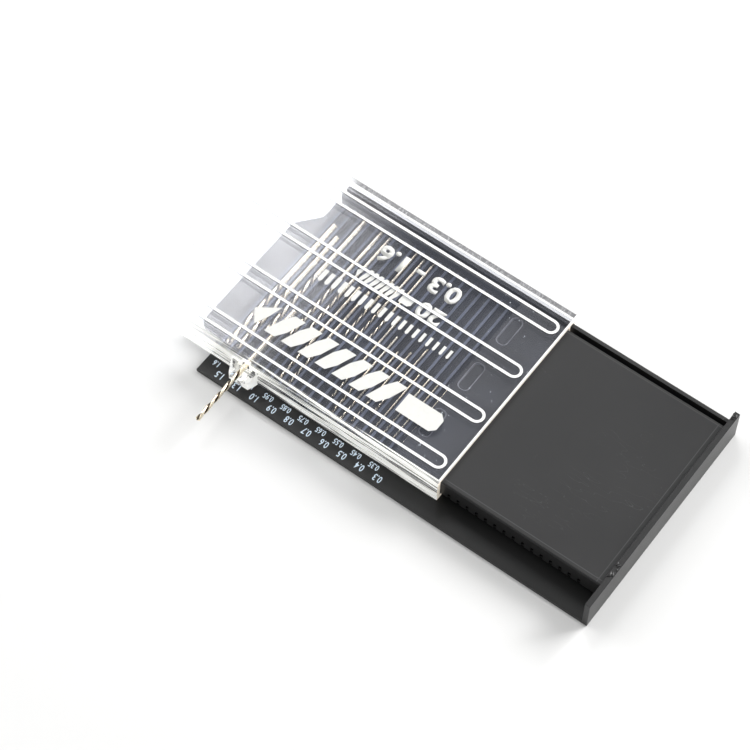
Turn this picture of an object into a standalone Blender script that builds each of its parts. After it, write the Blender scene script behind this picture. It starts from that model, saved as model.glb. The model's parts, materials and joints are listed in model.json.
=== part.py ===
"""Sliding-cover twist-drill box: a black tray, a clear cover and twenty twist drills in a row of channels.

Lengths in this file are millimetres in a bench frame: x runs from the inner face of the tray's end wall
towards its open end, y is 0 at the free edge of the number strip and falls towards the back rim, and z is
up from the table. to_world turns them into metres about the middle of the tray's underside.
"""

import math

import bmesh
import bpy
from mathutils import Vector

MM = 0.001

# The drills: twenty sizes, one per channel, with jobber lengths (overall, fluted part).
DRILL_SIZES = [0.30 + 0.05 * i for i in range(15)] + [1.2, 1.3, 1.4, 1.5, 1.6]
JOBBER_LENGTHS = {
    0.30: (19, 3), 0.35: (19, 4), 0.40: (20, 5), 0.45: (20, 5), 0.50: (22, 6),
    0.55: (24, 7), 0.60: (24, 7), 0.65: (26, 8), 0.70: (28, 9), 0.75: (28, 9),
    0.80: (30, 10), 0.85: (30, 10), 0.90: (32, 11), 0.95: (32, 11), 1.00: (34, 12),
    1.20: (38, 16), 1.30: (38, 16), 1.40: (40, 18), 1.50: (40, 18), 1.60: (43, 20),
}
# How far each drill has slid forwards from the back wall of its channel, smallest drill first.
SLID_FORWARD = [27.3, 27.1, 26.9, 28.4, 21.5, 24.6, 26.4, 23.1, 17.9, 0.3,
                1.2, 0.6, 16.8, 17.2, 0.8, 0.3, 0.0, 0.7, 8.9, 6.4]
# The drill that has been let out through the cover's chute, and how far its tip reaches.
OUT_DRILL = 16
OUT_DRILL_TIP_Y = 13.3
BED_CLEARANCE = 0.02

# Driving dimensions of the tray.
PITCH = 2.6
FIRST_CHANNEL_X = 59.1
END_WALL = 1.4
OPEN_END_X = 111.5
TOP_Z = 9.4
DECK_Z = 8.0
STRIP_Z = 1.0
DECK_FRONT_Y = -6.7
UNDERCUT_Y = -7.8
UNDERCUT_Z = 2.8
EDGE_CHAMFER = 0.3
FIRST_NOTCH_X = 5.7
GROOVE_Y = (-60.1, -58.8)
GROOVE_FLOOR_Z = 3.2
RIM_Y = -61.0
RIM_SEAT = 0.5
BACK_EDGE_Y = -63.0
RECESS_BACK_Y = -58.0
CHANNEL_FLOOR_Z = 3.6
CHANNEL_WALL_Z = 4.9
CHANNEL_WALL = 0.7
CHANNEL_HALF = (PITCH - CHANNEL_WALL) / 2
RECESS_START_X = FIRST_CHANNEL_X - PITCH / 2
PARKING_BACK_Y = -25.4
PARKING_Z = (5.1, 6.75)
PARKING_CLEARANCE = 0.85
PAD_X = FIRST_CHANNEL_X - 3.65
FIRST_PAD_Y = -18.5
PAD_SPACING = 15.75
PAD_HALF = (1.45, 4.2)
PAD_ROUNDING = 1.2
PAD_DEPTH = 0.3
CORING_WALL = 1.2

# The thumb tongue: the channel bed carried out past the tray's open end, with one sloped shoulder.
TONGUE_TIP_X = 117.7
TONGUE_ROOT_X = 112.7
TONGUE_Y = (-46.2, -9.7)
TONGUE_SLOPE = 6.0
TONGUE_CORNER = 1.0
TONGUE_UNDER_Z = 1.6

# Driving dimensions of the cover, with its right-hand end where it rests: the chute is at channel 17.
CHUTE_X = FIRST_CHANNEL_X + OUT_DRILL * PITCH
CLOSED_SHIFT = (OUT_DRILL + 1) * PITCH
CLOSED_GAP = 0.3
COVER_X = (CLOSED_SHIFT + CLOSED_GAP, CLOSED_SHIFT + OPEN_END_X)
PLATE_Z = 8.25
FRONT_WALL_Y = (-6.45, -5.3)
FRONT_CHAMFER = 0.75
HOOK_Y = -7.3
HOOK_Z = (1.3, 2.45)
RIB_Y = (-59.85, -59.1)
SKIRT_Y = -61.85
SKIRT_Z = 5.6
SKIRT_LIP = 0.55
RIDGE_RISE = 0.35
RIDGE_WIDTH = 0.75
RIDGE_SPACING = 15.35
FIRST_RIDGE_Y = -10.1
RIDGE_HALF_GAP = 1.75
EXIT_HALF = 1.15
EXIT_TOP_Z = 7.4
TROUGH_HALF = 1.3
TROUGH_Z = 3.4
CHUTE_UNDER_Z = 1.5


def to_world(x, y, z):
    middle_x = (OPEN_END_X - END_WALL) / 2
    middle_y = (BACK_EDGE_Y + 2.0) / 2
    return Vector((x - middle_x, y - middle_y, z)) * MM


def channel_x(index):
    return FIRST_CHANNEL_X + index * PITCH


def material(name, colour, roughness, metallic=0.0, alpha=1.0):
    made = bpy.data.materials.new(name)
    made.use_nodes = True
    shader = made.node_tree.nodes["Principled BSDF"]
    shader.inputs["Base Color"].default_value = (*colour, 1.0)
    shader.inputs["Roughness"].default_value = roughness
    shader.inputs["Metallic"].default_value = metallic
    shader.inputs["Alpha"].default_value = alpha
    return made


# ---------------------------------------------------------------- mesh helpers


def solid(name, bm, cutter=False):
    """Turns a bmesh in bench millimetres into an object in the world frame."""
    for vert in bm.verts:
        vert.co = to_world(*vert.co)
    bmesh.ops.recalc_face_normals(bm, faces=bm.faces)
    mesh = bpy.data.meshes.new(name)
    bm.to_mesh(mesh)
    bm.free()
    made = bpy.data.objects.new(name, mesh)
    bpy.context.scene.collection.objects.link(made)
    if cutter:
        made.hide_render = True
        made.display_type = "WIRE"
    return made


def skin(bm, near, far):
    """Joins two rings of the same number of vertices with faces."""
    count = len(near)
    for i in range(count):
        j = (i + 1) % count
        bm.faces.new((near[i], near[j], far[j], far[i]))


def add_loft(bm, rings):
    """Skins closed rings of points that all have the same count, and caps both ends."""
    loops = []
    for ring in rings:
        loops.append([bm.verts.new(point) for point in ring])
    for near, far in zip(loops, loops[1:]):
        skin(bm, near, far)
    bm.faces.new(list(reversed(loops[0])))
    bm.faces.new(loops[-1])


def add_box(bm, x, y, z):
    corners = ((x[0], y[0]), (x[1], y[0]), (x[1], y[1]), (x[0], y[1]))
    add_plate(bm, corners, z)


def add_plate(bm, outline, z):
    """An upright prism over an outline seen from above."""
    rings = []
    for height in z:
        rings.append([(x, y, height) for x, y in outline])
    add_loft(bm, rings)


def add_bar(bm, outline, x):
    """A prism along x over an outline in y and z."""
    rings = []
    for along in x:
        rings.append([(along, y, z) for y, z in outline])
    add_loft(bm, rings)


def boolean(target, tool, operation):
    step = target.modifiers.new(tool.name, "BOOLEAN")
    step.operation = operation
    step.solver = "EXACT"
    step.object = tool


# ---------------------------------------------------------------- tray


def tray_outline():
    """Cross-section of the tray: number strip, undercut front, deck, back groove and grooved rim."""
    seat_top = DECK_Z - RIM_SEAT
    return [
        (0.0, 0.0),
        (0.0, STRIP_Z),
        (UNDERCUT_Y, STRIP_Z),
        (UNDERCUT_Y, UNDERCUT_Z),
        (DECK_FRONT_Y, UNDERCUT_Z),
        (DECK_FRONT_Y, DECK_Z - EDGE_CHAMFER),
        (DECK_FRONT_Y - EDGE_CHAMFER, DECK_Z),
        (GROOVE_Y[1], DECK_Z),
        (GROOVE_Y[1], GROOVE_FLOOR_Z),
        (GROOVE_Y[0], GROOVE_FLOOR_Z),
        (GROOVE_Y[0], DECK_Z),
        (RIM_Y, DECK_Z),
        (RIM_Y, seat_top),
        (RIM_Y - RIM_SEAT, seat_top - 0.2),
        (RIM_Y - RIM_SEAT, seat_top - 0.7),
        (RIM_Y, seat_top - 0.9),
        (RIM_Y, 0.0),
    ]


def make_end_wall():
    bm = bmesh.new()
    add_box(bm, (-END_WALL, 0.0), (BACK_EDGE_Y, 0.0), (0.0, TOP_Z))
    return solid("end_wall_join", bm, cutter=True)


def make_tongue():
    """The thumb tongue, level with the channel floors and sloped back to the tray at its far corner."""
    root = OPEN_END_X - 1.0
    slope_y = TONGUE_Y[0] - TONGUE_SLOPE
    outline = [
        (root, TONGUE_Y[1]),
        (TONGUE_TIP_X - TONGUE_CORNER, TONGUE_Y[1]),
        (TONGUE_TIP_X, TONGUE_Y[1] - TONGUE_CORNER),
        (TONGUE_TIP_X, TONGUE_Y[0]),
        (TONGUE_ROOT_X, slope_y),
        (TONGUE_ROOT_X, RECESS_BACK_Y),
        (root, RECESS_BACK_Y),
    ]
    bm = bmesh.new()
    add_plate(bm, outline, (TONGUE_UNDER_Z, CHANNEL_FLOOR_Z))
    return solid("tongue_join", bm, cutter=True)


def make_recess_cutter():
    """The space over the channels, open above and through the front and the open end."""
    recess_x = (RECESS_START_X, OPEN_END_X + 1)
    bm = bmesh.new()
    add_box(bm, recess_x, (RECESS_BACK_Y, DECK_FRONT_Y + 1), (CHANNEL_WALL_Z, DECK_Z + 1))
    return solid("recess_cutter", bm, cutter=True)


def make_parking_cutter():
    """A pocket under the deck's edge that takes the let-out drill's shank when the cover is pushed shut."""
    pocket_x = (channel_x(-1) - PARKING_CLEARANCE, RECESS_START_X + 0.1)
    bm = bmesh.new()
    add_box(bm, pocket_x, (PARKING_BACK_Y, DECK_FRONT_Y + 1), PARKING_Z)
    return solid("parking_cutter", bm, cutter=True)


def make_channel_cutter():
    """One floor-deep slot per drill with thin walls between, and the plain bed beyond the last one."""
    slots = [(channel_x(index) - CHANNEL_HALF, channel_x(index) + CHANNEL_HALF) for index in range(20)]
    slots.append((slots[-1][1] + CHANNEL_WALL, OPEN_END_X + 1))
    bm = bmesh.new()
    for slot in slots:
        add_box(bm, slot, (RECESS_BACK_Y, DECK_FRONT_Y + 1), (CHANNEL_FLOOR_Z, CHANNEL_WALL_Z + 0.6))
    return solid("channel_cutter", bm, cutter=True)


def make_detent_cutter():
    """Twenty-one notches low on the front face: one for the closed cover and one for each drill."""
    half = 0.4
    bm = bmesh.new()
    for index in range(21):
        centre = FIRST_NOTCH_X + index * PITCH
        add_box(bm, (centre - half, centre + half), (DECK_FRONT_Y - 0.6, DECK_FRONT_Y + 0.5), (2.0, 4.6))
    return solid("detent_cutter", bm, cutter=True)


def make_underside_cutter():
    """Cored-out pockets under the deck and under the channel bed, split by ribs."""
    rows = 3
    back = RECESS_BACK_Y + 0.8
    front = DECK_FRONT_Y - 2.3
    depth = (front - back - (rows - 1) * CORING_WALL) / rows
    deck_width = (FIRST_CHANNEL_X - 6.3 - 2 * CORING_WALL) / 2
    bed_start = FIRST_CHANNEL_X - CORING_WALL
    bed_width = (OPEN_END_X - 2.0 - bed_start - CORING_WALL) / 2
    bm = bmesh.new()
    for row in range(rows):
        pocket_y = (back + row * (depth + CORING_WALL), back + row * (depth + CORING_WALL) + depth)
        for start, width, roof in ((CORING_WALL, deck_width, DECK_Z - CORING_WALL),
                                   (bed_start, bed_width, CHANNEL_FLOOR_Z - 1.1)):
            for column in range(2):
                left = start + column * (width + CORING_WALL)
                add_box(bm, (left, left + width), pocket_y, (-1.0, roof))
    return solid("underside_cutter", bm, cutter=True)


def rounded_rectangle(middle, half, rounding):
    """Outline of a rectangle seen from above, with its corners turned in four short steps."""
    outline = []
    for side_x, side_y, start in ((1, 1, 0), (-1, 1, 90), (-1, -1, 180), (1, -1, 270)):
        mid_x = middle[0] + side_x * (half[0] - rounding)
        mid_y = middle[1] + side_y * (half[1] - rounding)
        for step in range(4):
            angle = math.radians(start + 30 * step)
            outline.append((mid_x + rounding * math.cos(angle), mid_y + rounding * math.sin(angle)))
    return outline


def make_pad_cutter():
    """Three shallow rounded sinks in the deck beside the first channel."""
    bm = bmesh.new()
    for row in range(3):
        middle = (PAD_X, FIRST_PAD_Y - row * PAD_SPACING)
        outline = rounded_rectangle(middle, PAD_HALF, PAD_ROUNDING)
        add_plate(bm, outline, (DECK_Z - PAD_DEPTH, DECK_Z + 1))
    return solid("pad_cutter", bm, cutter=True)


def make_tray(black):
    bm = bmesh.new()
    add_bar(bm, tray_outline(), (-END_WALL / 2, OPEN_END_X))
    tray = solid("tray", bm)
    boolean(tray, make_end_wall(), "UNION")
    cutters = [
        make_recess_cutter(),
        make_parking_cutter(),
        make_channel_cutter(),
        make_detent_cutter(),
        make_underside_cutter(),
        make_pad_cutter(),
    ]
    for cutter in cutters:
        boolean(tray, cutter, "DIFFERENCE")
    boolean(tray, make_tongue(), "UNION")
    tray.data.materials.append(black)


# ---------------------------------------------------------------- cover


def cover_outline():
    """Cross-section of the cover: chamfered front wall with its hook, plate, back rib and lipped skirt."""
    return [
        (FRONT_WALL_Y[1], HOOK_Z[0]),
        (FRONT_WALL_Y[1], TOP_Z - FRONT_CHAMFER),
        (FRONT_WALL_Y[1] - FRONT_CHAMFER, TOP_Z),
        (BACK_EDGE_Y + EDGE_CHAMFER, TOP_Z),
        (BACK_EDGE_Y, TOP_Z - EDGE_CHAMFER),
        (BACK_EDGE_Y, SKIRT_Z),
        (SKIRT_Y + SKIRT_LIP, SKIRT_Z),
        (SKIRT_Y + SKIRT_LIP, SKIRT_Z + 0.6),
        (SKIRT_Y, SKIRT_Z + 0.8),
        (SKIRT_Y, PLATE_Z),
        (RIB_Y[0], PLATE_Z),
        (RIB_Y[0], CHANNEL_FLOOR_Z),
        (RIB_Y[1], CHANNEL_FLOOR_Z),
        (RIB_Y[1], PLATE_Z),
        (FRONT_WALL_Y[0], PLATE_Z),
        (FRONT_WALL_Y[0], HOOK_Z[1]),
        (HOOK_Y, HOOK_Z[1]),
        (HOOK_Y, HOOK_Z[0]),
    ]


def chute_ring(y, half, lip, crest):
    """Section of the spout across x: two cheeks with a flat-bottomed V trough between them."""
    return [
        (CHUTE_X - half, y, CHUTE_UNDER_Z),
        (CHUTE_X - half, y, lip),
        (CHUTE_X - crest, y, lip),
        (CHUTE_X - TROUGH_HALF, y, TROUGH_Z),
        (CHUTE_X + TROUGH_HALF, y, TROUGH_Z),
        (CHUTE_X + crest, y, lip),
        (CHUTE_X + half, y, lip),
        (CHUTE_X + half, y, CHUTE_UNDER_Z),
    ]


def make_chute():
    """The spout the drills leave by, narrowing and dropping outwards from the front wall."""
    rings = [
        chute_ring(FRONT_WALL_Y[1] - 0.2, 3.9, 7.0, 2.6),
        chute_ring(FRONT_WALL_Y[1] + 1.2, 3.5, 6.0, 2.3),
        chute_ring(FRONT_WALL_Y[1] + 2.9, 2.8, 4.2, 1.9),
    ]
    bm = bmesh.new()
    add_loft(bm, rings)
    bmesh.ops.triangulate(bm, faces=bm.faces)
    return solid("chute_join", bm, cutter=True)


def make_exit_cutter():
    """The window in the front wall that lets one drill through at a time."""
    window_y = (FRONT_WALL_Y[0] - 0.4, FRONT_WALL_Y[1] + 0.3)
    bm = bmesh.new()
    add_box(bm, (CHUTE_X - EXIT_HALF, CHUTE_X + EXIT_HALF), window_y, (CHANNEL_FLOOR_Z, EXIT_TOP_Z))
    return solid("exit_cutter", bm, cutter=True)


def make_detent_bump():
    """The small wedge inside the front wall that clicks into the tray's notches."""
    centre = COVER_X[0] + FIRST_NOTCH_X - CLOSED_GAP
    root_y = FRONT_WALL_Y[0] + 0.2
    crest_y = FRONT_WALL_Y[0] - 0.15
    outline = [
        (centre - 0.3, root_y),
        (centre - 0.12, crest_y),
        (centre + 0.12, crest_y),
        (centre + 0.3, root_y),
    ]
    bm = bmesh.new()
    add_plate(bm, outline, (3.2, 4.3))
    return solid("detent_bump_join", bm, cutter=True)


def ridge_outline(centre_y, offset, z):
    """A long loop with one round end at the near side and one at the far side of the cover."""
    radius = RIDGE_HALF_GAP + offset
    right = COVER_X[0] + 1.2 + RIDGE_HALF_GAP + RIDGE_WIDTH / 2
    left = COVER_X[1] - 3.0
    ring = []
    for mid_x, start in ((right, 90), (left, 270)):
        for step in range(9):
            angle = math.radians(start + 22.5 * step)
            ring.append((mid_x + radius * math.cos(angle), centre_y + radius * math.sin(angle), z))
    return ring


def make_ridges():
    """Four long raised loops that stiffen the plate."""
    low = TOP_Z - 0.2
    high = TOP_Z + RIDGE_RISE
    half = RIDGE_WIDTH / 2
    bm = bmesh.new()
    for row in range(4):
        loops = []
        for offset, z in ((half, low), (half, high), (-half, high), (-half, low)):
            ring = ridge_outline(FIRST_RIDGE_Y - row * RIDGE_SPACING, offset, z)
            loops.append([bm.verts.new(point) for point in ring])
        for near, far in zip(loops, loops[1:] + loops[:1]):
            skin(bm, near, far)
    return solid("ridges_join", bm, cutter=True)


def make_cover(clear):
    bm = bmesh.new()
    add_bar(bm, cover_outline(), COVER_X)
    cover = solid("cover", bm)
    for piece in (make_chute(), make_detent_bump(), make_ridges()):
        boolean(cover, piece, "UNION")
    boolean(cover, make_exit_cutter(), "DIFFERENCE")
    cover.data.materials.append(clear)


# ---------------------------------------------------------------- drills


def flute_radius(angle, radius):
    """Radius of a twist-drill section: full on its two lands and sunk in its two flutes."""
    return radius * (0.52 if abs(math.sin(angle)) > 0.8 else 1.0)


def drill_stations(length, fluted, size):
    """Places along a drill, tail first: distance, radius, twist, and whether the flutes are cut there."""
    radius = size / 2
    lead = math.pi * size / math.tan(math.radians(30))
    steps = math.ceil(fluted / lead * 10)
    point = 0.3 * size
    stations = [
        (0.0, 0.8 * radius, 0.0, False),
        (0.15 * size, radius, 0.0, False),
        (length - fluted - size, radius, 0.0, False),
    ]
    for step in range(steps + 1):
        cut = (fluted - point) * step / steps
        stations.append((length - fluted + cut, radius, 2 * math.pi * cut / lead, True))
    stations.append((length, 0.18 * radius, stations[-1][2], False))
    return stations


def drill_seat(index, length, radius):
    """Where a drill lies: its tail's y and its axis height, on the bed or half out of the chute."""
    if index == OUT_DRILL:
        return OUT_DRILL_TIP_Y - length, CHANNEL_FLOOR_Z + max(DRILL_SIZES) + 0.05 + radius
    return RECESS_BACK_Y + 0.3 + SLID_FORWARD[index], CHANNEL_FLOOR_Z + BED_CLEARANCE + radius


def make_drill(index, steel):
    size = round(DRILL_SIZES[index], 2)
    length, fluted = JOBBER_LENGTHS[size]
    tail_y, axis_z = drill_seat(index, length, size / 2)
    points = 8
    rings = []
    for along, reach, twist, fluting in drill_stations(length, fluted, size):
        ring = []
        for i in range(points):
            angle = 2 * math.pi * i / points
            r = flute_radius(angle, reach) if fluting else reach
            x = channel_x(index) + r * math.cos(angle + twist)
            z = axis_z + r * math.sin(angle + twist)
            ring.append((x, tail_y + along, z))
        rings.append(ring)
    bm = bmesh.new()
    add_loft(bm, rings)
    drill = solid("drill_%d_%02dmm" % (int(size), round(size * 100) % 100), bm)
    origin = to_world(channel_x(index), tail_y, axis_z)
    for vert in drill.data.vertices:
        vert.co -= origin
    drill.location = origin
    drill.data.shade_smooth()
    drill.data.set_sharp_from_angle(angle=math.radians(40))
    drill.data.materials.append(steel)


def main():
    for old in list(bpy.data.objects):
        bpy.data.objects.remove(old)
    black = material("black_abs", (0.045, 0.045, 0.047), 0.5)
    clear = material("clear_polystyrene", (0.86, 0.89, 0.92), 0.06, alpha=0.3)
    steel = material("ground_steel", (0.72, 0.68, 0.60), 0.28, metallic=1.0)
    make_tray(black)
    make_cover(clear)
    for index in range(len(DRILL_SIZES)):
        make_drill(index, steel)


main()
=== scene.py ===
"""Looks of the sliding-cover twist-drill box: materials, fine drills, printing, light and camera."""

import json
import math
import random

import bmesh
import bpy
from mathutils import Matrix, Vector


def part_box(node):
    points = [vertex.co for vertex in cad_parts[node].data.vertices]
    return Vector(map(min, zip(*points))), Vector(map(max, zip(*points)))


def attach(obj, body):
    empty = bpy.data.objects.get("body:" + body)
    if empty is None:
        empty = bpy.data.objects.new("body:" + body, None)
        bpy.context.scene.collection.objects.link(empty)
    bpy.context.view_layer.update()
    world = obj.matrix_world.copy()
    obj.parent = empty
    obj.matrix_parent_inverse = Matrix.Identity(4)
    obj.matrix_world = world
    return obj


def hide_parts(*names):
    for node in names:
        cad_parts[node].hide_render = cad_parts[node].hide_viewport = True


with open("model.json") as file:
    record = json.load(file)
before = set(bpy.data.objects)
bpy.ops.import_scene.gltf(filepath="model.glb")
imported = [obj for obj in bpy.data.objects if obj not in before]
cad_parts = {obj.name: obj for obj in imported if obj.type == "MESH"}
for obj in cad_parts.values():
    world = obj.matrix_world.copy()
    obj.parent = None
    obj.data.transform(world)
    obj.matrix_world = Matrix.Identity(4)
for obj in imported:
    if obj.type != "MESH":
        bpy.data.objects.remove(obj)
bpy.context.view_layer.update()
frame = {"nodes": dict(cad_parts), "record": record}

MM = 0.001
TRAY_LOW, TRAY_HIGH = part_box("tray")
COVER_LOW, COVER_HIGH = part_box("cover")

# Sizes of the tray, in metres.
PITCH = 2.6 * MM
END_WALL = 1.4 * MM
STRIP_TOP = 1.0 * MM
DECK_TOP = 8.0 * MM
CHANNEL_WALL_TOP = 4.9 * MM
NOTCH_LEVELS = (1.9 * MM, 4.7 * MM)
NOTCH_DEPTH = 0.6 * MM
PAD_HALF = (1.45 * MM, 4.2 * MM)
PAD_CORNER = 1.2 * MM

# Places on the tray and cover, from their boxes. The tray lies along x, its strip at the side of larger y.
STRIP_EDGE_Y = TRAY_HIGH[1]
DECK_FRONT_Y = STRIP_EDGE_Y - 6.7 * MM
FRONT_WALL_Y = STRIP_EDGE_Y - 5.3 * MM
BACK_LINE_Y = STRIP_EDGE_Y - 61.3 * MM
TRAY_OPEN_END_X = TRAY_LOW[0] + 112.9 * MM
FIRST_CHANNEL_X = TRAY_LOW[0] + END_WALL + 59.1 * MM
RECESS_START_X = FIRST_CHANNEL_X - PITCH / 2
PAD_X = FIRST_CHANNEL_X - 3.65 * MM
PAD_MIDDLES = [STRIP_EDGE_Y - (18.5 + 15.75 * i) * MM for i in range(3)]
RIDGE_RISE = 0.35 * MM
PLATE_TOP = COVER_HIGH[2] - RIDGE_RISE
PLATE_END_X = COVER_LOW[0]

# How brightly the surroundings and the bright patch in them glow.
SURROUND_GLOW = 0.50
PATCH_GLOW = 7.6

DRILL_SIZES = [0.30 + 0.05 * i for i in range(15)] + [1.2, 1.3, 1.4, 1.5, 1.6]
FLUTE_LENGTHS = [3, 4, 5, 5, 6, 7, 7, 8, 9, 9, 10, 10, 11, 11, 12, 16, 16, 18, 18, 20]
HELIX_ANGLE = math.radians(28)
HALF_POINT_ANGLE = math.radians(59)
SECTION_POINTS = 32


def drill_name(size):
    return "drill_%d_%02dmm" % (int(size + 0.001), round(size * 100) % 100)


# ---------------------------------------------------------------- node helpers


class Nodes:
    """A short way to write shader nodes: add makes one, and its inputs take values or sockets by name."""

    def __init__(self, tree):
        self.tree = tree

    def add(self, kind, inputs=None, **settings):
        node = self.tree.nodes.new(kind)
        for key, value in settings.items():
            setattr(node, key, value)
        for key, value in (inputs or {}).items():
            if isinstance(value, bpy.types.NodeSocket):
                self.tree.links.new(value, node.inputs[key])
            else:
                node.inputs[key].default_value = value
        return node

    def place(self):
        return self.add("ShaderNodeTexCoord").outputs["Object"]

    def noise(self, scale, detail=4.0, stretch=(1, 1, 1), roughness=0.5):
        mapping = self.add("ShaderNodeMapping", {"Vector": self.place(), "Scale": stretch})
        made = self.add("ShaderNodeTexNoise", {
            "Vector": mapping.outputs[0], "Scale": scale, "Detail": detail, "Roughness": roughness,
        })
        return made.outputs["Fac"]

    def ramp(self, value, low, high, low_out=0.0, high_out=1.0, shape="LINEAR"):
        made = self.add("ShaderNodeMapRange", {
            "Value": value, "From Min": low, "From Max": high, "To Min": low_out, "To Max": high_out,
        }, interpolation_type=shape)
        return made.outputs["Result"]

    def math(self, operation, first, second=0.0):
        return self.add("ShaderNodeMath", {0: first, 1: second}, operation=operation).outputs[0]

    def product(self, *values):
        total = values[0]
        for value in values[1:]:
            total = self.math("MULTIPLY", total, value)
        return total

    def total(self, *values):
        result = values[0]
        for value in values[1:]:
            result = self.math("ADD", result, value)
        return result

    def largest(self, *values):
        result = values[0]
        for value in values[1:]:
            result = self.math("MAXIMUM", result, value)
        return result

    def band(self, value, low, high):
        """One between two values and nought outside them, with slightly soft edges."""
        soft = 0.3 * (high - low)
        return self.product(self.ramp(value, low - soft / 2, low + soft / 2),
                            self.ramp(value, high + soft / 2, high - soft / 2))

    def beyond(self, value, middle, half):
        """How far a value lies outside the range middle - half to middle + half, and nought inside it."""
        away = self.math("ABSOLUTE", self.math("SUBTRACT", value, middle))
        return self.math("MAXIMUM", self.math("SUBTRACT", away, half))

    def rounded_outline(self, x, y, middle_x, middle_y, half, corner, width):
        """One along the edge of an upright rounded rectangle seen from above."""
        past_x = self.beyond(x, middle_x, half[0] - corner)
        past_y = self.beyond(y, middle_y, half[1] - corner)
        squares = self.math("ADD", self.product(past_x, past_x), self.product(past_y, past_y))
        distance = self.math("SUBTRACT", self.math("SQRT", squares), corner)
        return self.band(distance, -width / 2, width / 2)

    def split(self, vector):
        parts = self.add("ShaderNodeSeparateXYZ", {0: vector}).outputs
        return parts[0], parts[1], parts[2]

    def normal(self):
        return self.split(self.add("ShaderNodeNewGeometry").outputs["Normal"])

    def mix(self, amount, first, second):
        return self.add("ShaderNodeMixShader", {0: amount, 1: first, 2: second}).outputs[0]

    def clear(self, colour):
        return self.add("ShaderNodeBsdfTransparent", {"Color": colour + (1,)}).outputs[0]

    def lit(self, colour, glow):
        """A pale surface that also glows a little: painted light standing in for the light the plastic has
        gathered.
        """
        return self.add("ShaderNodeBsdfPrincipled", {
            "Base Color": colour + (1,), "Roughness": 0.25,
            "Emission Color": colour + (1,), "Emission Strength": glow,
        }).outputs[0]

    def blend_colour(self, amount, first, second):
        made = self.add("ShaderNodeMix", {0: amount, 6: first, 7: second}, data_type="RGBA")
        return made.outputs[2]

    def bump(self, height, strength, distance, normal=None):
        inputs = {"Height": height, "Strength": strength, "Distance": distance}
        if normal is not None:
            inputs["Normal"] = normal
        return self.add("ShaderNodeBump", inputs).outputs[0]


def new_material(name):
    material = bpy.data.materials.new(name)
    material.use_nodes = True
    material.node_tree.nodes.clear()
    return material, Nodes(material.node_tree)


def show(n, surface):
    n.add("ShaderNodeOutputMaterial", {"Surface": surface})


# ---------------------------------------------------------------- black plastic


def pad_edge_highlights(n, x, y, z):
    """Painted highlight: broken pale outlines of the three rounded pads on the deck, where their edges catch
    the light.
    """
    width = 0.34 * MM
    outlines = [n.rounded_outline(x, y, PAD_X, middle_y, PAD_HALF, PAD_CORNER, width)
                for middle_y in PAD_MIDDLES]
    broken = n.ramp(n.noise(300.0, 2.0), 0.30, 0.55, 0.35, 1.0)
    return n.product(n.largest(*outlines), n.ramp(z, DECK_TOP - 0.6 * MM, DECK_TOP - 0.5 * MM), broken)


def deck_highlight_lines(n, x, y):
    """Painted highlight: a fine pale line just inside the deck's front, end and back edges, where a fine
    moulded line catches the light.
    """
    return n.largest(
        n.band(y, DECK_FRONT_Y - 1.32 * MM, DECK_FRONT_Y - 1.12 * MM),
        n.band(x, TRAY_LOW[0] + 2.75 * MM, TRAY_LOW[0] + 2.95 * MM),
        n.band(y, DECK_FRONT_Y - 51.6 * MM, DECK_FRONT_Y - 51.4 * MM),
    )


def wear_and_highlight_marks(n, x, y, z):
    """Scuffs and specks everywhere, and on the deck a few thin scratches and its fine line, a painted
    highlight.
    """
    on_deck = n.product(n.ramp(z, DECK_TOP - 0.15 * MM, DECK_TOP - 0.05 * MM),
                        n.ramp(z, DECK_TOP + 0.15 * MM, DECK_TOP + 0.05 * MM))
    scuffs = n.ramp(n.noise(420.0, 6.0, stretch=(1.0, 0.10, 1.0), roughness=0.75), 0.68, 0.74)
    specks = n.ramp(n.noise(1500.0, 3.0, roughness=0.7), 0.74, 0.78)
    hairs = n.band(n.noise(260.0, 2.0, stretch=(0.35, 1.6, 1.0)), 0.497, 0.503)
    scratches = n.product(hairs, n.ramp(n.noise(55.0, 2.0), 0.52, 0.62), on_deck)
    return n.total(n.product(scuffs, 0.22), n.product(specks, 0.45),
                   n.product(deck_highlight_lines(n, x, y), on_deck, 0.20), n.product(scratches, 0.16))


def notch_floor_shade(n, x, y, z):
    """Painted shade: the bottoms of the notches in the deck's front face, which are darkened."""
    return n.product(n.ramp(y, DECK_FRONT_Y - 0.06 * MM, DECK_FRONT_Y - 0.12 * MM),
                     n.band(z, *NOTCH_LEVELS),
                     n.ramp(x, RECESS_START_X, RECESS_START_X - 0.1 * MM),
                     n.ramp(x, TRAY_LOW[0] + END_WALL + 0.1 * MM, TRAY_LOW[0] + END_WALL + 0.2 * MM),
                     n.ramp(y, DECK_FRONT_Y - NOTCH_DEPTH - 0.2 * MM, DECK_FRONT_Y - NOTCH_DEPTH - 0.1 * MM))


def rib_top_highlights(n, x, z, normal_z):
    """Painted highlight: the tops of the thin walls between the channels, painted paler where they catch the
    light.
    """
    return n.product(n.band(z, CHANNEL_WALL_TOP - 0.1 * MM, CHANNEL_WALL_TOP + 0.1 * MM),
                     n.ramp(x, RECESS_START_X, RECESS_START_X + 0.1 * MM),
                     n.ramp(normal_z, 0.5, 0.9), 0.9)


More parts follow.
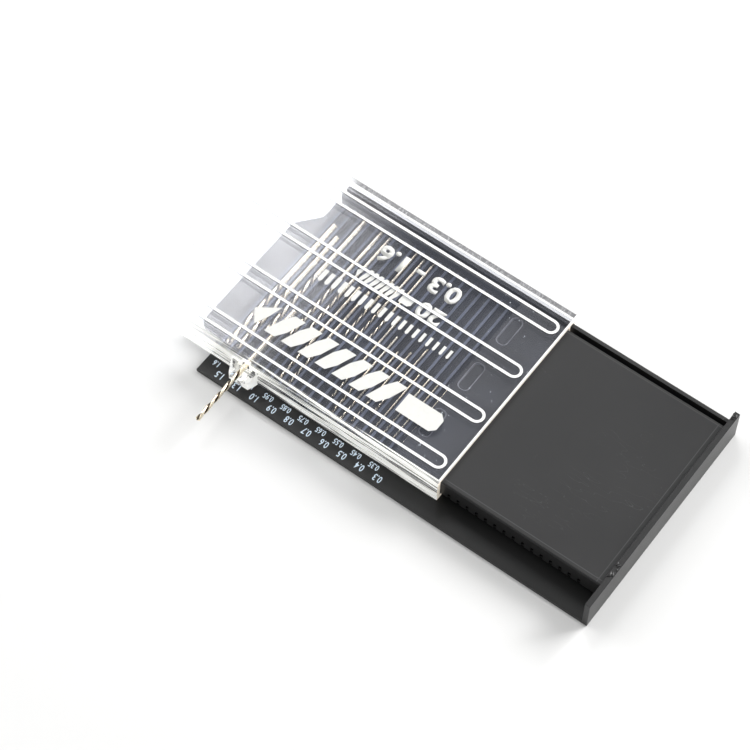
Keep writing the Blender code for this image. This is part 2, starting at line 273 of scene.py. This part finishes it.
def black_moulding():
    """Matt black plastic with a fine tooled grain and wear marks; painted highlights on the rib tops, pad
    edges and a line on the deck, and painted shade on upright faces, low down and in the notches.
    """
    material, n = new_material("black_moulding")
    x, y, z = n.split(n.place())
    normal_z = n.normal()[2]
    cloud = n.noise(60.0, 3.0)
    upright = n.ramp(normal_z, 0.9, 0.4)
    low_down = n.ramp(z, 2.6 * MM, 1.8 * MM)
    notch_shade = notch_floor_shade(n, x, y, z)
    colour = n.blend_colour(cloud, (0.018, 0.018, 0.0185, 1), (0.024, 0.024, 0.0245, 1))
    # Painted highlight: the rib tops are painted a paler blue-grey.
    colour = n.blend_colour(rib_top_highlights(n, x, z, normal_z), colour, (0.11, 0.125, 0.17, 1))
    # Painted highlight: pale lines along the pad edges.
    colour = n.blend_colour(pad_edge_highlights(n, x, y, z), colour, (0.20, 0.20, 0.215, 1))
    # Painted shade: upright faces, and everything below about 2.6 mm, are darkened.
    shade = n.largest(n.product(upright, 0.35), n.product(low_down, 0.75))
    colour = n.blend_colour(shade, colour, (0.011, 0.011, 0.011, 1))
    # Real scuffs, specks and scratches, and a painted highlight line on the deck.
    colour = n.blend_colour(wear_and_highlight_marks(n, x, y, z), colour, (0.16, 0.16, 0.165, 1))
    # Painted shade: the notch bottoms are darkened to near black.
    colour = n.blend_colour(notch_shade, colour, (0.002, 0.002, 0.002, 1))
    grain = n.bump(n.noise(9000.0, 3.0), 0.25, 0.04 * MM,
                   n.bump(n.noise(1500.0, 2.0, stretch=(0.05, 1.0, 1.0)), 0.12, 0.06 * MM))
    shader = n.add("ShaderNodeBsdfPrincipled", {
        "Base Color": colour,
        "Roughness": n.math("SUBTRACT", n.ramp(cloud, 0.3, 0.7, 0.36, 0.44), n.product(upright, 0.03)),
        "Specular IOR Level": n.math("SUBTRACT", n.ramp(upright, 0.0, 1.0, 0.30, 0.42),
                                     n.product(notch_shade, 0.40)),
        "Normal": grain,
    })
    show(n, shader.outputs[0])
    return material


# ---------------------------------------------------------------- clear plastic


def streaks(n, density):
    """Long bright streaks along x, as light breaks up in a moulded clear edge."""
    fine = n.noise(2600.0, 3.0, stretch=(0.016, 1.0, 1.0), roughness=0.65)
    broad = n.noise(900.0, 2.0, stretch=(0.05, 1.0, 1.0))
    both = n.total(n.product(fine, 0.6), n.product(broad, 0.4))
    return n.ramp(both, 0.56 - density, 0.64 - density)


def polished_plate(n):
    """See-through plastic with a little haze, mirror-like at grazing angles from outside and inside."""
    scratch = n.noise(900.0, 5.0, stretch=(1.0, 0.06, 1.0), roughness=0.7)
    normal = n.bump(scratch, 0.02, 0.02 * MM, n.bump(n.noise(45.0, 1.0), 0.10, 0.8 * MM))
    inner_side = n.add("ShaderNodeNewGeometry").outputs["Backfacing"]
    ratio = n.ramp(inner_side, 0.0, 1.0, 1.50, 1 / 1.50)
    facing = n.add("ShaderNodeFresnel", {"IOR": ratio, "Normal": normal}).outputs[0]
    haze = n.add("ShaderNodeBsdfDiffuse", {"Color": (0.62, 0.70, 0.95, 1)}).outputs[0]
    gloss = n.add("ShaderNodeBsdfGlossy", {
        "Color": (0.97, 0.97, 1, 1), "Roughness": 0.03, "Normal": normal,
    }).outputs[0]
    smear = n.ramp(n.noise(70.0, 4.0), 0.35, 0.75, 0.010, 0.026)
    body = n.mix(smear, n.clear((0.985, 0.987, 0.995)), haze)
    shadow = n.add("ShaderNodeLightPath").outputs["Is Shadow Ray"]
    return n.mix(n.product(facing, n.ramp(shadow, 1.0, 0.0)), body, gloss)


def add_plate_scuffs(n, shader, x, top_face):
    """Pale scuffs on top of the plate, near its right-hand end, which also glow a little: painted light."""
    scuffs = n.ramp(n.noise(900.0, 5.0, stretch=(1.0, 0.45, 1.0), roughness=0.75), 0.665, 0.695)
    near_end = n.ramp(x, PLATE_END_X + 24 * MM, PLATE_END_X + 9 * MM, 0.0, 0.8)
    return n.mix(n.product(scuffs, top_face, near_end), shader, n.lit((0.80, 0.86, 0.90), 0.2))


def add_back_strip(n, shader, y, z, over_tray):
    """Painted shade: an opaque hatched grey strip along the cover's back, where its rib and hook lie under
    the plate, in place of the light and shade they make in the clear plastic.
    """
    strip = n.product(over_tray, n.ramp(y, BACK_LINE_Y - 0.3 * MM, BACK_LINE_Y - 0.4 * MM),
                      n.ramp(z, PLATE_TOP - 1.0 * MM, PLATE_TOP - 0.4 * MM))
    hatching = n.ramp(n.noise(1800.0, 3.0, stretch=(1.0, 0.25, 1.0)), 0.40, 0.60, 0.65, 0.98)
    return n.mix(n.product(strip, hatching), shader, n.lit((0.13, 0.13, 0.135), 0.0))


def add_front_wall_light(n, shader, x, y, normal_x, normal_z):
    """Painted light: bright glowing streaks in the front wall, and bright glowing facets in the chute that
    stands out from it.
    """
    front_wall = n.ramp(y, FRONT_WALL_Y - 0.95 * MM, FRONT_WALL_Y - 0.80 * MM)
    chute = n.product(n.ramp(y, FRONT_WALL_Y + 0.15 * MM, FRONT_WALL_Y + 0.35 * MM),
                      n.ramp(x, TRAY_OPEN_END_X - 16 * MM, TRAY_OPEN_END_X - 15 * MM))
    wall_streaks = n.product(front_wall, streaks(n, 0.105), n.ramp(chute, 0.0, 1.0, 1.0, 0.35))
    facets = n.ramp(n.noise(800.0, 1.0, stretch=(1.0, 0.3, 0.7)), 0.50, 0.54)
    right_facets = n.product(n.ramp(normal_z, 0.5, 0.2), n.ramp(normal_x, -0.2, -0.6))
    chute_light = n.product(chute, n.largest(facets, right_facets), 0.75)
    shader = n.mix(wall_streaks, shader, n.lit((0.93, 0.93, 0.89), 0.50))
    return n.mix(chute_light, shader, n.lit((0.93, 0.93, 0.90), 0.50))


def edge_light_lines(n, x, y, z, over_tray):
    """Painted light: thin white glowing lines where light leaves the plate: along its back and along its
    right-hand end.
    """
    back_line = n.product(over_tray, n.band(y, BACK_LINE_Y - 0.26 * MM, BACK_LINE_Y + 0.26 * MM),
                          n.ramp(z, PLATE_TOP - 0.05 * MM, PLATE_TOP - 0.02 * MM))
    end_line = n.product(n.ramp(x, PLATE_END_X + 0.42 * MM, PLATE_END_X + 0.36 * MM),
                         n.ramp(z, PLATE_TOP - 0.4 * MM, PLATE_TOP - 0.2 * MM))
    return n.largest(back_line, end_line)


def add_end_face(n, shader, x, z, normal_x):
    """Painted light: the cut end of the plate and walls glows, warmer low down."""
    face = n.product(n.ramp(normal_x, -0.3, -0.7),
                     n.ramp(x, PLATE_END_X + 0.3 * MM, PLATE_END_X + 0.2 * MM), 0.92)
    height = n.ramp(z, PLATE_TOP - 0.75 * MM, PLATE_TOP - 0.35 * MM)
    warm = n.blend_colour(height, (1.0, 0.90, 0.76, 1), (0.96, 0.95, 0.97, 1))
    light = n.add("ShaderNodeBsdfPrincipled", {
        "Base Color": warm, "Roughness": 0.25, "Emission Color": warm, "Emission Strength": 0.35,
    }).outputs[0]
    return n.mix(face, shader, light)


def clear_moulding():
    """Polished clear plastic: see-through plate, with painted light in its white glowing ridge tops and edge
    lines, glowing front-wall streaks, glowing cut end and scuffs, and painted shade in its dark ridge sides
    and grey back strip.
    """
    material, n = new_material("clear_moulding")
    x, y, z = n.split(n.place())
    normal_x, _, normal_z = n.normal()
    over_tray = n.ramp(x, TRAY_OPEN_END_X + 1 * MM, TRAY_OPEN_END_X - 2 * MM)
    above_plate = n.ramp(z, PLATE_TOP + 0.02 * MM, PLATE_TOP + 0.06 * MM)
    top_face = n.ramp(normal_z, 0.97, 0.995)
    ridge_side_shade = n.product(above_plate, n.ramp(normal_z, 0.99, 0.90), 0.85)
    # Painted highlight: the ridge tops and the lines where light leaves the plate, painted white below.
    white = n.largest(n.product(above_plate, top_face), edge_light_lines(n, x, y, z, over_tray))
    shader = polished_plate(n)
    shader = add_plate_scuffs(n, shader, x, top_face)
    # Painted shade: the ridge sides let through only half the light, a dark line along each ridge.
    shader = n.mix(ridge_side_shade, shader, n.clear((0.50, 0.51, 0.54)))
    # Painted shade: the grey strip along the cover's back.
    shader = add_back_strip(n, shader, y, z, over_tray)
    shader = add_front_wall_light(n, shader, x, y, normal_x, normal_z)
    # Painted light: the ridge tops and edge lines are painted white and glow a little.
    shader = n.mix(white, shader, n.lit((0.74, 0.74, 0.73), 0.12))
    shader = add_end_face(n, shader, x, z, normal_x)
    shadow = n.add("ShaderNodeLightPath").outputs["Is Shadow Ray"]
    unshaded = n.product(shadow, n.math("SUBTRACT", 1.0, over_tray), 0.92)
    show(n, n.mix(unshaded, shader, n.clear((0.985, 0.987, 0.995))))
    return material


# ---------------------------------------------------------------- steel, ink and floor


def ground_steel():
    """Bright straw-tinted steel with fine turning lines, with painted shade making it dark down in the
    flutes.
    """
    material, n = new_material("ground_steel")
    rings = n.noise(9000.0, 2.0, stretch=(0.02, 1.0, 0.02))
    tint = n.ramp(n.noise(700.0, 3.0), 0.35, 0.65)
    flute_shade_depth = n.add("ShaderNodeAttribute", attribute_name="flute_depth").outputs["Fac"]
    bright = n.blend_colour(tint, (0.92, 0.80, 0.60, 1), (0.97, 0.90, 0.76, 1))
    shader = n.add("ShaderNodeBsdfPrincipled", {
        # Painted shade: the steel is darkened deep in the flutes.
        "Base Color": n.blend_colour(n.ramp(flute_shade_depth, 0.10, 0.42), bright, (0.05, 0.035, 0.022, 1)),
        "Metallic": 0.95,
        "Roughness": n.ramp(rings, 0.3, 0.7, 0.20, 0.32),
        "Normal": n.bump(rings, 0.25, 0.01 * MM),
    })
    show(n, shader.outputs[0])
    return material


def printing_ink(name, colour, glow, wear_from):
    """Screen-printed ink, slightly mottled and rubbed away in small spots; a glow above nought is painted
    light.
    """
    material, n = new_material(name)
    mottle = n.noise(900.0, 4.0)
    rubbed = n.ramp(n.noise(1400.0, 6.0, roughness=0.8), wear_from, wear_from + 0.03)
    darker = tuple(0.86 * part for part in colour)
    ink = n.add("ShaderNodeBsdfPrincipled", {
        "Base Color": n.blend_colour(mottle, darker + (1,), colour + (1,)),
        "Roughness": 0.55,
        "Emission Color": colour + (1,),
        "Emission Strength": glow,
        "Normal": n.bump(mottle, 0.2, 0.02 * MM),
    }).outputs[0]
    bare = n.add("ShaderNodeBsdfTransparent").outputs[0]
    show(n, n.mix(rubbed, ink, bare))
    return material


def pale_floor():
    material, n = new_material("pale_floor")
    mottle = n.noise(40.0, 3.0)
    shader = n.add("ShaderNodeBsdfPrincipled", {
        "Base Color": n.blend_colour(mottle, (0.705, 0.705, 0.70, 1), (0.72, 0.72, 0.715, 1)),
        "Roughness": 0.7,
        "Specular IOR Level": 0.2,
        "Normal": n.bump(n.noise(900.0, 3.0), 0.05, 0.1 * MM),
    })
    show(n, shader.outputs[0])
    return material


# ---------------------------------------------------------------- mesh helpers


def make_object(name, bm, material, smooth_angle=None):
    mesh = bpy.data.meshes.new(name)
    bm.to_mesh(mesh)
    bm.free()
    mesh.materials.append(material)
    if smooth_angle is not None:
        mesh.shade_smooth()
        mesh.set_sharp_from_angle(angle=math.radians(smooth_angle))
    made = bpy.data.objects.new(name, mesh)
    bpy.context.scene.collection.objects.link(made)
    return made


def soften_edges(node, width, material):
    """Rounds a CAD node's moulded edges and gives it its material."""
    weld = node.modifiers.new("weld", "WELD")
    weld.merge_threshold = 0.005 * MM
    bevel = node.modifiers.new("moulded_edges", "BEVEL")
    bevel.width = width
    bevel.segments = 2
    bevel.limit_method = "ANGLE"
    bevel.angle_limit = math.radians(35)
    bevel.harden_normals = False
    node.data.materials.clear()
    node.data.materials.append(material)


# ---------------------------------------------------------------- drills


def drill_section(angle, radius):
    """Radius of a twist-drill section at an angle: two lands with narrow margins, and two rounded flutes."""
    phase = angle % math.pi
    flute_start, flute_end = 0.22 * math.pi, 0.78 * math.pi
    if flute_start < phase < flute_end:
        across = (phase - flute_start) / (flute_end - flute_start)
        depth = math.sin(math.pi * across) ** 0.8
        return radius * (0.96 - 0.62 * depth)
    if phase < 0.07 * math.pi:
        return radius
    return radius * 0.96


def drill_stations(radius, length, fluted, lead):
    """Rings along a drill: the place along it, the share of the radius reached and the flutes' depth."""
    run_out = 2.4 * radius
    tip = radius / math.tan(HALF_POINT_ANGLE)
    flute_from = length - fluted
    steps = max(24, math.ceil(fluted / lead * 28))
    stations = [(0.0, 0.86, 0.0), (0.12 * radius, 1.0, 0.0), (flute_from - run_out, 1.0, 0.0)]
    for step in range(1, 9):
        stations.append((flute_from - run_out + run_out * step / 8, 1.0, step / 8))
    for step in range(1, steps + 1):
        stations.append((flute_from + (fluted - tip) * step / steps, 1.0, 1.0))
    for step in range(1, 5):
        stations.append((length - tip + tip * step / 4, 1.0 - 0.92 * step / 4, 1.0))
    return stations


def join_rings(bm, rings):
    for near, far in zip(rings, rings[1:]):
        for i in range(SECTION_POINTS):
            j = (i + 1) % SECTION_POINTS
            bm.faces.new((near[i], near[j], far[j], far[i]))
    bm.faces.new(list(reversed(rings[0])))
    bm.faces.new(rings[-1])
    bmesh.ops.recalc_face_normals(bm, faces=bm.faces)


def build_drill(index, steel):
    """A drill with helical flutes in the place of its plain CAD node, carried by the same body."""
    size = DRILL_SIZES[index]
    node = drill_name(size)
    low, high = (Vector(corner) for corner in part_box(node))
    radius = size * MM / 2
    axis = (low + high) / 2
    length = high.y - low.y
    fluted = FLUTE_LENGTHS[index] * MM
    lead = 2 * math.pi * radius / math.tan(HELIX_ANGLE)
    bm = bmesh.new()
    depth_layer = bm.verts.layers.float.new("flute_depth")
    rings = []
    for along, reach, cut in drill_stations(radius, length, fluted, lead):
        twist = 2 * math.pi * (along - length + fluted) / lead if cut > 0 else 0.0
        ring = []
        for i in range(SECTION_POINTS):
            angle = 2 * math.pi * i / SECTION_POINTS
            fluted_radius = drill_section(angle - twist, radius)
            r = reach * (radius + cut * (fluted_radius - radius))
            vert = bm.verts.new((axis.x + r * math.cos(angle), low.y + along, axis.z + r * math.sin(angle)))
            vert[depth_layer] = cut * (1.0 - fluted_radius / radius)
            ring.append(vert)
        rings.append(ring)
    join_rings(bm, rings)
    drill = make_object("fine_" + node, bm, steel, smooth_angle=38)
    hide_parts(node)
    bodies = frame["record"]["behaviour"]["bodies"]
    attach(drill, next(name for name, nodes in bodies.items() if node in nodes))


# ---------------------------------------------------------------- printing


def text_mesh(body, size, squeeze, heavy):
    """Outline of a line of figures as flat mesh data, centred on its own middle."""
    curve = bpy.data.curves.new("figures", "FONT")
    curve.body = body
    curve.size = size
    curve.offset = heavy
    curve.align_x = "CENTER"
    curve.align_y = "CENTER"
    curve.resolution_u = 3
    carrier = bpy.data.objects.new("figures", curve)
    bpy.context.scene.collection.objects.link(carrier)
    graph = bpy.context.evaluated_depsgraph_get()
    mesh = bpy.data.meshes.new_from_object(carrier.evaluated_get(graph))
    bpy.data.objects.remove(carrier)
    mesh.transform(Matrix.Diagonal((squeeze, 1.0, 1.0, 1.0)))
    return mesh


def add_figures(bm, body, size, squeeze, heavy, place):
    mesh = text_mesh(body, size, squeeze, heavy)
    mesh.transform(Matrix.Translation(place))
    bm.from_mesh(mesh)
    bpy.data.meshes.remove(mesh)


def thicken(bm, thickness):
    """Raises flat faces into a thin closed layer of ink."""
    bmesh.ops.remove_doubles(bm, verts=bm.verts, dist=1e-7)
    raised = bmesh.ops.extrude_face_region(bm, geom=bm.faces[:])
    top = [item for item in raised["geom"] if isinstance(item, bmesh.types.BMVert)]
    bmesh.ops.translate(bm, verts=top, vec=(0, 0, thickness))
    bmesh.ops.recalc_face_normals(bm, faces=bm.faces)


def print_sizes(ink):
    """Drill sizes on the number strip in two staggered rows, each under its channel."""
    bm = bmesh.new()
    for index, size in enumerate(DRILL_SIZES):
        label = "%.1f" % size if round(size * 100) % 10 == 0 else "%.2f" % size
        if index % 2 == 0:
            height, from_edge = 2.6 * MM, 1.95 * MM
        else:
            height, from_edge = 2.15 * MM, 4.1 * MM
        place = (FIRST_CHANNEL_X + index * PITCH, STRIP_EDGE_Y - from_edge, STRIP_TOP)
        add_figures(bm, label, height, 0.74, 0.03 * MM, place)
    thicken(bm, 0.02 * MM)
    scale = make_object("size_figures", bm, ink)
    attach(scale, "tray")


def add_flat(bm, outline, z):
    bm.faces.new([bm.verts.new((x, y, z)) for x, y in outline])


def print_drill_picture(bm, left, middle_y, length, height, z):
    """A bold drill lying along x: chamfered shank, slanting flute bars and a pointed tip."""
    half = height / 2
    shank = 0.20 * length
    body = 0.74 * half
    cut = 0.35 * half
    add_flat(bm, [
        (left, middle_y - body + cut), (left + cut, middle_y - body),
        (left + shank, middle_y - body), (left + shank, middle_y + body),
        (left + cut, middle_y + body), (left, middle_y + body - cut),
    ], z)
    bars = 7
    flutes_start = left + shank + 0.02 * length
    pitch = (0.88 * length - shank) / (bars + 0.4)
    wide = 0.60 * pitch
    lean = 0.75 * pitch
    for bar in range(bars):
        foot = flutes_start + bar * pitch
        add_flat(bm, [
            (foot, middle_y - half), (foot + wide, middle_y - half),
            (foot + wide + 0.5 * lean, middle_y - 0.3 * half), (foot + wide + lean, middle_y + half),
            (foot + lean, middle_y + half), (foot + 0.5 * lean, middle_y + 0.3 * half),
        ], z)
    tip_start = left + 0.93 * length
    add_flat(bm, [
        (tip_start - 0.03 * length, middle_y - half), (left + length, middle_y),
        (tip_start + 0.02 * length, middle_y + half), (tip_start - 0.01 * length, middle_y),
    ], z)


def print_size_row(bm, left, middle_y, pitch, z):
    """Upright pointed strokes, one per drill, growing in width and height."""
    for i in range(len(DRILL_SIZES)):
        x = left + i * pitch
        wide = (0.36 + 0.012 * i) * MM
        tall = (1.35 + 0.03 * i) * MM
        add_flat(bm, [
            (x - wide, middle_y - tall), (x + wide, middle_y - tall),
            (x + wide, middle_y + tall - wide), (x, middle_y + tall), (x - wide, middle_y + tall - wide),
        ], z)


def print_cover(ink):
    """The cover's white print: a drill picture, a row of growing strokes, the count and the size range."""
    z = PLATE_TOP
    bm = bmesh.new()
    print_drill_picture(bm, PLATE_END_X + 8.6 * MM, STRIP_EDGE_Y - 18.1 * MM, 54.6 * MM, 7.6 * MM, z)
    print_size_row(bm, PLATE_END_X + 18.2 * MM, STRIP_EDGE_Y - 35.2 * MM, 1.97 * MM, z)
    print_drill_picture(bm, PLATE_END_X + 33.6 * MM, STRIP_EDGE_Y - 41.6 * MM, 16.4 * MM, 3.9 * MM, z)
    for body, x, y, size in (("20", 28.6, 41.9, 6.4), ("0.3 - 1.6", 37.2, 49.6, 6.6)):
        place = (PLATE_END_X + x * MM, STRIP_EDGE_Y - y * MM, z)
        add_figures(bm, body, size * MM, 1.08, 0.27 * MM, place)
    thicken(bm, 0.03 * MM)
    printed = make_object("cover_print", bm, ink)
    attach(printed, "cover")


# ---------------------------------------------------------------- moulding marks


def build_burrs(black):
    """Ragged bits of flash on top of the end wall, by the deck's front edge and at its far end."""
    random.seed(4)
    middle_x = TRAY_LOW[0] + END_WALL / 2
    ceiling = COVER_HIGH[2] - 0.01 * MM
    bm = bmesh.new()
    for near_y, far_y, count in ((-13.2, -9.0, 9), (-62.4, -60.8, 6)):
        for _ in range(count):
            size = random.uniform(0.25, 0.48) * MM
            y = STRIP_EDGE_Y + random.uniform(near_y, far_y) * MM
            x = middle_x + random.uniform(-0.35, 0.55) * MM
            made = bmesh.ops.create_icosphere(bm, subdivisions=1, radius=size)
            for vert in made["verts"]:
                vert.co *= random.uniform(0.7, 1.25)
                vert.co.y *= 1.6
                vert.co += Vector((x, y, TRAY_HIGH[2]))
                vert.co.z = min(vert.co.z, ceiling)
    burrs = make_object("flash_burrs", bm, black)
    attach(burrs, "tray")


# ---------------------------------------------------------------- studio


def build_floor():
    bm = bmesh.new()
    bmesh.ops.create_grid(bm, x_segments=1, y_segments=1, size=4.0)
    floor = make_object("floor", bm, pale_floor())
    floor.location.z = -0.02 * MM


def add_area_light(name, place, size, power):
    """A soft box that shines on the middle of the tray."""
    light = bpy.data.lights.new(name, "AREA")
    light.shape = "RECTANGLE"
    light.size, light.size_y = size
    light.energy = power
    lamp = bpy.data.objects.new(name, light)
    lamp.location = place
    lamp.rotation_euler = (-Vector(place)).to_track_quat("-Z", "Y").to_euler()
    bpy.context.scene.collection.objects.link(lamp)


def bright_patch(n, across, away):
    """A soft-edged bright patch with a brighter sheet and faint folds, by how steeply a direction rises."""
    folds = n.add("ShaderNodeCombineXYZ", {"X": across, "Y": away}).outputs[0]
    folds = n.add("ShaderNodeMapping", {"Vector": folds, "Scale": (150.0, 14.0, 1.0)}).outputs[0]
    folds = n.add("ShaderNodeTexNoise", {"Vector": folds, "Scale": 1.0, "Detail": 2.0}).outputs[0]
    return n.product(
        n.ramp(across, 0.372, 0.428, shape="SMOOTHSTEP"),
        n.ramp(across, 0.80, 0.95, 1.0, 0.0, shape="SMOOTHSTEP"),
        n.ramp(away, -0.85, -0.70, shape="SMOOTHSTEP"),
        n.ramp(away, -0.40, -0.25, 1.0, 0.0, shape="SMOOTHSTEP"),
        n.ramp(folds, 0.35, 0.65, 0.60, 1.30),
        n.ramp(across, 0.404, 0.411, 0.72, 1.0),
    )


def build_world():
    """Even pale surroundings, with a soft bright patch that glares in the cover over the tray's open end."""
    world = bpy.data.worlds.new("studio")
    world.use_nodes = True
    n = Nodes(world.node_tree)
    x, y, z = n.split(n.add("ShaderNodeTexCoord").outputs["Generated"])
    patch = bright_patch(n, n.math("DIVIDE", x, z), n.math("DIVIDE", y, z))
    background = world.node_tree.nodes["Background"]
    background.inputs["Color"].default_value = (1.0, 1.0, 1.0, 1)
    strength = n.total(n.product(patch, PATCH_GLOW), SURROUND_GLOW)
    world.node_tree.links.new(strength, background.inputs["Strength"])
    bpy.context.scene.world = world


def build_light():
    build_world()
    add_area_light("softbox_back", (-0.50, -1.10, 0.66), (0.8, 0.45), 28.0)
    add_area_light("softbox_left", (1.05, 0.10, 0.75), (0.8, 0.6), 5.5)
    bpy.context.scene.view_settings.view_transform = "Standard"


def build_camera():
    """The camera at the viewing angle: azimuth, elevation and roll about a point it looks at."""
    azimuth = math.radians(214.75)
    elevation = math.radians(58.65)
    roll = math.radians(1.95)
    distance = 0.6455
    target = Vector((0.02163, 0.00566, 0.0))
    flat = math.cos(elevation)
    back = Vector((math.sin(azimuth) * flat, -math.cos(azimuth) * flat, math.sin(elevation)))
    turned = back.to_track_quat("Z", "Y").to_matrix() @ Matrix.Rotation(roll, 3, "Z")
    camera_data = bpy.data.cameras.new("camera")
    camera_data.sensor_width = 36.0
    camera_data.lens = 129.15
    camera_data.clip_start = 0.01
    camera = bpy.data.objects.new("camera", camera_data)
    camera.rotation_euler = turned.to_euler()
    camera.location = target + back * distance
    bpy.context.scene.collection.objects.link(camera)
    bpy.context.scene.camera = camera


def main():
    black = black_moulding()
    soften_edges(frame["nodes"]["tray"], 0.12 * MM, black)
    build_burrs(black)
    soften_edges(frame["nodes"]["cover"], 0.15 * MM, clear_moulding())
    steel = ground_steel()
    for index in range(len(DRILL_SIZES)):
        build_drill(index, steel)
    # The size figures glow a little: painted light, for the strip lies in shade.
    print_sizes(printing_ink("strip_ink", (0.72, 0.84, 0.95), 0.18, 0.74))
    print_cover(printing_ink("white_ink", (0.71, 0.71, 0.68), 0.0, 0.69))
    build_floor()
    build_light()
    build_camera()


main()
